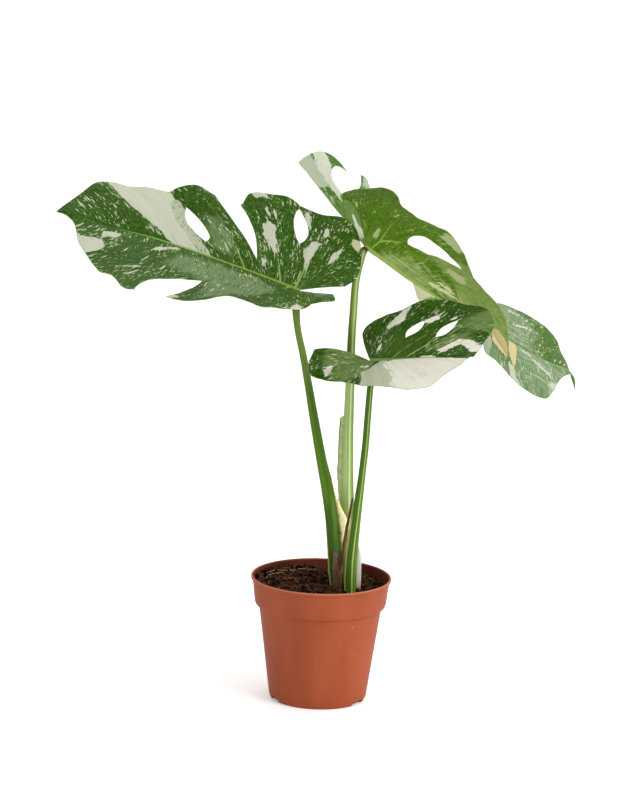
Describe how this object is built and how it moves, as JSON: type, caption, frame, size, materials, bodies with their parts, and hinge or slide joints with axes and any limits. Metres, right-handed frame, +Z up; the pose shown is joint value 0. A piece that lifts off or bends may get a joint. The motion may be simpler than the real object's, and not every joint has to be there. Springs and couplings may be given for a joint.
{
  "type": "potted variegated monstera",
  "caption": "Young variegated monstera whose split, cream-marbled leaves stand on long stalks in dark soil, in a round tapered plastic nursery pot on its flat base.",
  "frame": {"origin": "middle of the pot's underside, on the plane it stands on", "axes": "+Z up, -Y towards the side the plant is usually seen from, +X to the viewer's right"},
  "size_m": [0.4559, 0.3034, 0.4565],
  "materials": {
    "pot": "satin",
    "soil": "matte",
    "stalk": "satin",
    "blade": "satin",
    "pale_sheath": "matte",
    "dry_sheath": "matte"
  },
  "bodies": {
    "root": {"pot": "pot", "soil": "soil", "stalk_left": "stalk", "stalk_back": "stalk", "stalk_front": "stalk", "blade_left": "blade", "blade_back": "blade", "blade_front": "blade", "sheath_cream": "pale_sheath", "sheath_white": "pale_sheath", "scale_brown": "dry_sheath", "sheath_brown": "dry_sheath"}
  },
  "joints": []
}
